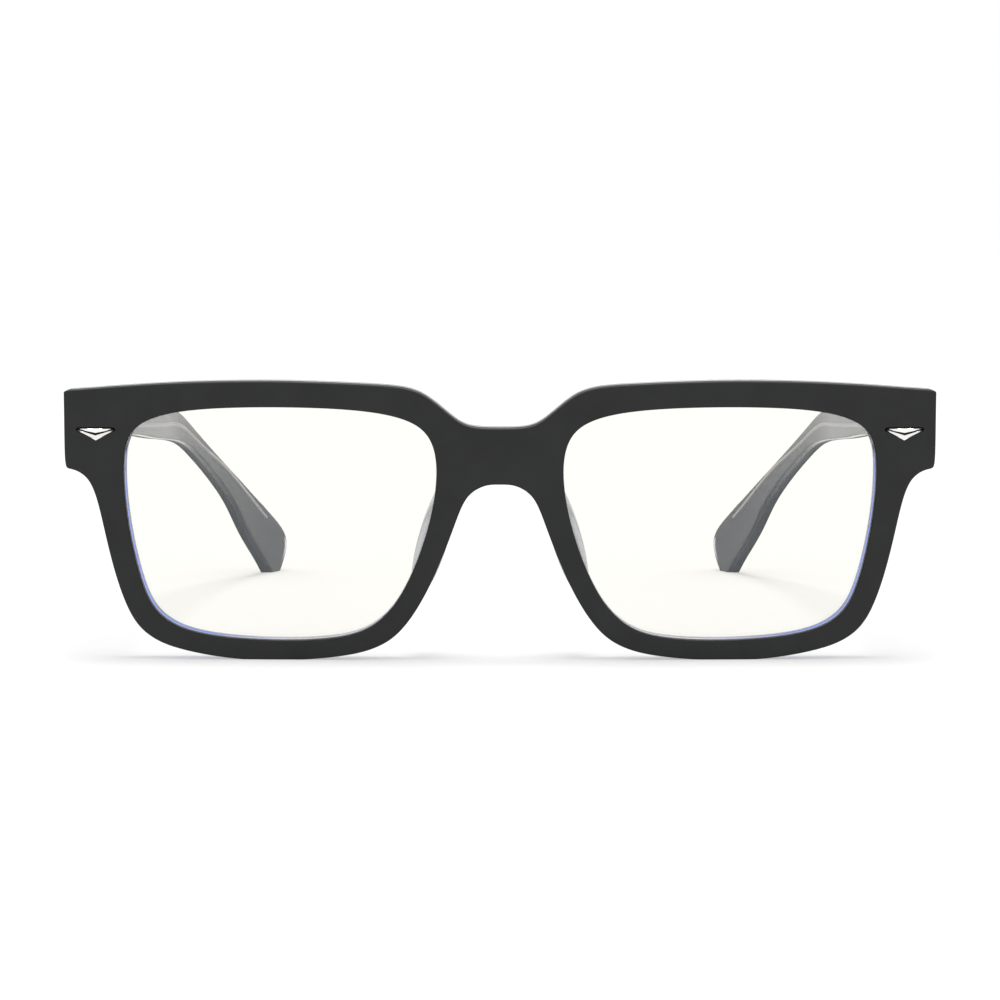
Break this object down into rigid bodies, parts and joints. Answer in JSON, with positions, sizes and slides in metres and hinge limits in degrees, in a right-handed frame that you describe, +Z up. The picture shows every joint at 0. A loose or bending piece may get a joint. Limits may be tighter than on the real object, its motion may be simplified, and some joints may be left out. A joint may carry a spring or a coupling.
{
  "type": "blue light glasses",
  "caption": "Square-framed clear-lens glasses with a laminated black and clear front, nose pads, chevron plaques and folding temples on pinned hinges.",
  "frame": {"origin": "on the surface that the open glasses stand on, under the middle of their box", "axes": "+X to the wearer's left, -Y the way the glasses look, +Z up"},
  "size_m": [0.1454, 0.1472, 0.0471],
  "materials": {
    "black_acetate": "satin-polished black acetate",
    "clear_acetate": "polished clear acetate with a faint lilac tone",
    "lens": "coated lens, very pale yellow",
    "polished_silver": "polished silver-coloured metal",
    "hinge_steel": "fine brushed nickel silver"
  },
  "bodies": {
    "front": {"front_face": "black_acetate", "front_backing": "clear_acetate", "lens_left": "lens", "lens_right": "lens", "nose_pad_left": "clear_acetate", "nose_pad_right": "clear_acetate", "plaque_left": "polished_silver", "plaque_right": "polished_silver", "front_hinge_leaf_left": "hinge_steel", "front_hinge_leaf_right": "hinge_steel", "hinge_screw_left": "hinge_steel", "hinge_screw_right": "hinge_steel"},
    "temple_left": {"temple_lining_left": "clear_acetate", "temple_cover_left": "black_acetate", "temple_hinge_leaf_left": "hinge_steel", "core_wire_left": "hinge_steel"},
    "temple_right": {"temple_lining_right": "clear_acetate", "temple_cover_right": "black_acetate", "temple_hinge_leaf_right": "hinge_steel", "core_wire_right": "hinge_steel"}
  },
  "joints": [
    {"name": "left_temple_fold", "type": "hinge", "parent": "front", "child": "temple_left", "pos_m": [0.0666, -0.06475, 0.0385], "axis": [0, -0.0698, 0.9976], "range_deg": [0, 82]},
    {"name": "right_temple_fold", "type": "hinge", "parent": "front", "child": "temple_right", "pos_m": [-0.0666, -0.06475, 0.0385], "axis": [0, 0.0698, -0.9976], "range_deg": [0, 72]}
  ]
}
